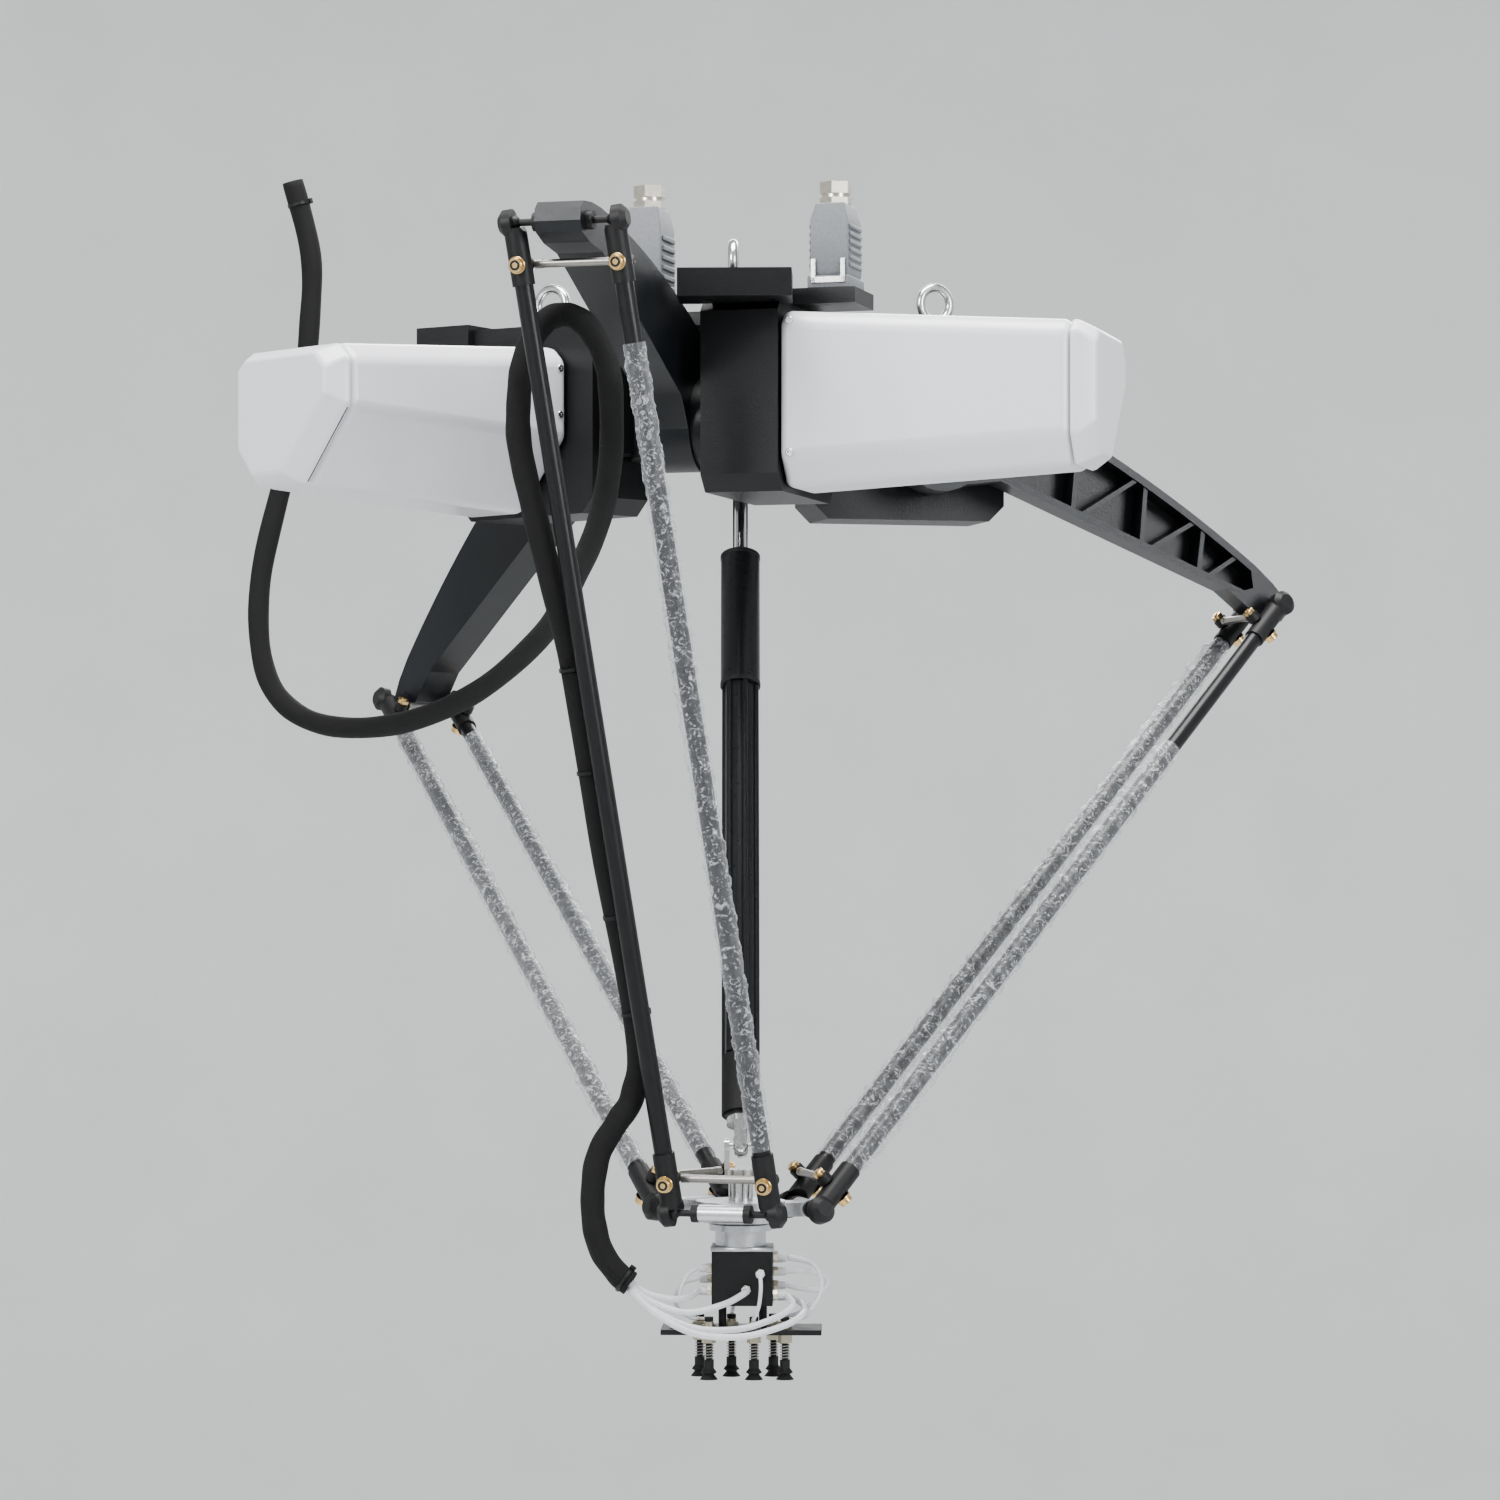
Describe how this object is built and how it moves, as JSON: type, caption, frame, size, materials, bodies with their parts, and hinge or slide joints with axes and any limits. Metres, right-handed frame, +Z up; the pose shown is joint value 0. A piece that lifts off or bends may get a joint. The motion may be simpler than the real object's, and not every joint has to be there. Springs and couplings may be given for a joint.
{
  "type": "delta robot",
  "caption": "Hanging three-arm delta robot with telescopic drive shaft, paired forearm rods, a levelled platform and a vacuum cup gripper.",
  "frame": {"origin": "centre of the mounting plane on top of the three lugs, on the robot axis", "axes": "+Z up, -Y towards the front lug, +X to the right seen from the front"},
  "size_m": [1.1818, 1.1308, 1.2913],
  "materials": {
    "cast_black": "satin powder coat",
    "cover_white": "satin",
    "hood_grey": "satin",
    "gland_metal": "nickel plated",
    "steel": "polished",
    "carbon": "satin",
    "rod_plastic": "matte",
    "spring_steel": "satin",
    "tube_black": "anodised",
    "alu": "brushed",
    "manifold_black": "anodised",
    "plate_black": "matte",
    "guide_brass": "satin",
    "rubber": "matte",
    "sleeve": "braided",
    "boot_rubber": "matte"
  },
  "bodies": {
    "base": {"base_casting": "cast_black", "gearbox_a": "cast_black", "gearbox_b": "cast_black", "gearbox_c": "cast_black", "cover_a": "cover_white", "cover_b": "cover_white", "cover_c": "cover_white", "connector_plates": "cast_black", "hoods": "hood_grey", "glands": "gland_metal", "lifting_eyes": "steel"},
    "arm_a": {"arm_a": "cast_black", "hub_cap_a": "spring_steel", "studs_a": "steel", "hose_feed": "sleeve"},
    "arm_b": {"arm_b": "cast_black", "hub_cap_b": "spring_steel", "studs_b": "steel"},
    "arm_c": {"arm_c": "cast_black", "hub_cap_c": "spring_steel", "studs_c": "steel"},
    "rods_a": {"rod_a1": "carbon", "rod_a2": "carbon", "rod_ends_a1": "rod_plastic", "rod_ends_a2": "rod_plastic", "links_a": "spring_steel", "hose_loop": "sleeve", "hose_rod": "sleeve"},
    "platform": {"platform": "alu", "platform_studs": "steel", "hose_tail": "sleeve"},
    "drive_ball": {"drive_ball": "steel"},
    "drive_shaft": {"drive_shaft": "steel"},
    "drive_boot": {"drive_boot": "boot_rubber"},
    "drive_tube": {"drive_tube": "tube_black", "drive_yoke": "steel"},
    "tool": {"tool_spindle": "steel", "tool_flange": "alu", "manifold": "manifold_black", "tool_plate": "plate_black", "cup_guides": "guide_brass"},
    "rod_b1": {"rod_b1": "carbon", "rod_ends_b1": "rod_plastic"},
    "rod_b2": {"rod_b2": "carbon", "rod_ends_b2": "rod_plastic"},
    "link_b_top": {"link_b_top": "spring_steel"},
    "link_b_foot": {"link_b_foot": "spring_steel"},
    "rod_c1": {"rod_c1": "carbon", "rod_ends_c1": "rod_plastic"},
    "rod_c2": {"rod_c2": "carbon", "rod_ends_c2": "rod_plastic"},
    "link_c_top": {"link_c_top": "spring_steel"},
    "link_c_foot": {"link_c_foot": "spring_steel"},
    "cup_1": {"cup_1": "rubber"},
    "cup_2": {"cup_2": "rubber"},
    "cup_3": {"cup_3": "rubber"},
    "cup_4": {"cup_4": "rubber"},
    "cup_5": {"cup_5": "rubber"},
    "cup_6": {"cup_6": "rubber"}
  },
  "joints": [
    {"name": "shoulder_a", "type": "hinge", "parent": "base", "child": "arm_a", "pos_m": [-0.05521, -0.21502, -0.14], "axis": [0.9686, -0.2487, 0], "range_deg": [-2, 28], "deforming": ["hose_feed"]},
    {"name": "shoulder_b", "type": "hinge", "parent": "base", "child": "arm_b", "pos_m": [-0.15861, 0.15532, -0.14], "axis": [-0.6997, -0.7145, 0], "range_deg": [-37.83, 2.98]},
    {"name": "shoulder_c", "type": "hinge", "parent": "base", "child": "arm_c", "pos_m": [0.21382, 0.0597, -0.14], "axis": [-0.2689, 0.9632, 0], "range_deg": [-42.44, 3.31]},
    {"name": "elbow_a", "type": "hinge", "parent": "arm_a", "child": "rods_a", "pos_m": [-0.15057, -0.58644, 0.0187], "axis": [0.9686, -0.2487, 0], "range_deg": [-0.71, 6.01], "deforming": ["hose_loop"]},
    {"name": "platform_level", "type": "hinge", "parent": "rods_a", "child": "platform", "pos_m": [-0.00441, -0.46893, -0.933], "axis": [0.9686, -0.2487, 0], "range_deg": [-34.01, 2.71], "deforming": ["hose_tail"]},
    {"name": "elbow_b1", "type": "hinge", "parent": "arm_b", "child": "rod_b1", "pos_m": [-0.35038, 0.4131, -0.4074], "axis": [-0.0347, -0.8709, 0.4902], "range_deg": [-2.86, 36.14]},
    {"name": "elbow_b2", "type": "hinge", "parent": "arm_b", "child": "rod_b2", "pos_m": [-0.42035, 0.34165, -0.4074], "axis": [-0.0347, -0.8709, 0.4902], "range_deg": [-2.86, 36.14]},
    {"name": "link_b_top_pivot", "type": "hinge", "parent": "rod_b1", "child": "link_b_top", "pos_m": [-0.32947, 0.37641, -0.41588], "axis": [-0.0347, -0.8709, 0.4902], "range_deg": [-36.14, 2.86]},
    {"name": "link_b_foot_pivot", "type": "hinge", "parent": "rod_b1", "child": "link_b_foot", "pos_m": [-0.00489, -0.30591, -0.90301], "axis": [-0.0347, -0.8709, 0.4902], "range_deg": [-36.14, 2.86]},
    {"name": "elbow_c1", "type": "hinge", "parent": "arm_c", "child": "rod_c1", "pos_m": [0.5916, 0.11327, -0.3107], "axis": [0.4436, 0.8026, -0.3988], "range_deg": [-2.9, 36.7]},
    {"name": "elbow_c2", "type": "hinge", "parent": "arm_c", "child": "rod_c2", "pos_m": [0.56471, 0.20958, -0.3107], "axis": [0.4436, 0.8026, -0.3988], "range_deg": [-2.9, 36.7]},
    {"name": "link_c_top_pivot", "type": "hinge", "parent": "rod_c1", "child": "link_c_top", "pos_m": [0.56006, 0.08762, -0.32496], "axis": [0.4436, 0.8026, -0.3988], "range_deg": [-36.7, 2.9]},
    {"name": "link_c_foot_pivot", "type": "hinge", "parent": "rod_c1", "child": "link_c_foot", "pos_m": [0.09426, -0.42089, -0.90171], "axis": [0.4436, 0.8026, -0.3988], "range_deg": [-36.7, 2.9]},
    {"name": "drive_tilt_top", "type": "hinge", "parent": "base", "child": "drive_ball", "pos_m": [0, 0, -0.08], "axis": [0.9569, -0.2901, -0.0119], "range_deg": [-2.61, 32.69]},
    {"name": "drive_tilt_foot", "type": "hinge", "parent": "platform", "child": "drive_boot", "pos_m": [0.012, -0.405, -0.871], "axis": [0.9569, -0.2901, -0.0119], "range_deg": [-2.61, 32.69]},
    {"name": "tool_turn", "type": "hinge", "parent": "platform", "child": "tool", "pos_m": [0.012, -0.405, -0.871], "axis": [0, 0, 1], "range_deg": [-90, 90]},
    {"name": "shaft_turn", "type": "hinge", "parent": "drive_ball", "child": "drive_shaft", "pos_m": [0, 0, -0.08], "axis": [-0.0135, 0.4557, 0.89], "range_deg": [-91, 91]},
    {"name": "tube_turn", "type": "hinge", "parent": "drive_boot", "child": "drive_tube", "pos_m": [0.012, -0.405, -0.871], "axis": [-0.0135, 0.4557, 0.89], "range_deg": [-91, 91]},
    {"name": "cup_1_spring", "type": "slide", "parent": "tool", "child": "cup_1", "axis": [0, 0, 1], "range_m": [0, 0.01], "stiffness_N_per_m": 250, "springref_m": -0.001},
    {"name": "cup_2_spring", "type": "slide", "parent": "tool", "child": "cup_2", "axis": [0, 0, 1], "range_m": [0, 0.01], "stiffness_N_per_m": 250, "springref_m": -0.001},
    {"name": "cup_3_spring", "type": "slide", "parent": "tool", "child": "cup_3", "axis": [0, 0, 1], "range_m": [0, 0.01], "stiffness_N_per_m": 250, "springref_m": -0.001},
    {"name": "cup_4_spring", "type": "slide", "parent": "tool", "child": "cup_4", "axis": [0, 0, 1], "range_m": [0, 0.01], "stiffness_N_per_m": 250, "springref_m": -0.001},
    {"name": "cup_5_spring", "type": "slide", "parent": "tool", "child": "cup_5", "axis": [0, 0, 1], "range_m": [0, 0.01], "stiffness_N_per_m": 250, "springref_m": -0.001},
    {"name": "cup_6_spring", "type": "slide", "parent": "tool", "child": "cup_6", "axis": [0, 0, 1], "range_m": [0, 0.01], "stiffness_N_per_m": 250, "springref_m": -0.001}
  ],
  "couplings": [
    {"joint": "shoulder_b", "follows": "shoulder_a", "ratio": -1.3405},
    {"joint": "shoulder_c", "follows": "shoulder_a", "ratio": -1.5051},
    {"joint": "elbow_a", "follows": "shoulder_a", "ratio": 0.204},
    {"joint": "platform_level", "follows": "shoulder_a", "ratio": -1.204},
    {"joint": "elbow_b1", "follows": "shoulder_a", "ratio": 1.28},
    {"joint": "elbow_b2", "follows": "shoulder_a", "ratio": 1.28},
    {"joint": "link_b_top_pivot", "follows": "shoulder_a", "ratio": -1.28},
    {"joint": "link_b_foot_pivot", "follows": "shoulder_a", "ratio": -1.28},
    {"joint": "elbow_c1", "follows": "shoulder_a", "ratio": 1.3},
    {"joint": "elbow_c2", "follows": "shoulder_a", "ratio": 1.3},
    {"joint": "link_c_top_pivot", "follows": "shoulder_a", "ratio": -1.3},
    {"joint": "link_c_foot_pivot", "follows": "shoulder_a", "ratio": -1.3},
    {"joint": "drive_tilt_top", "follows": "shoulder_a", "ratio": 1.1567},
    {"joint": "drive_tilt_foot", "follows": "shoulder_a", "ratio": 1.1567},
    {"joint": "shaft_turn", "follows": "tool_turn", "ratio": 1},
    {"joint": "tube_turn", "follows": "tool_turn", "ratio": 1}
  ]
}
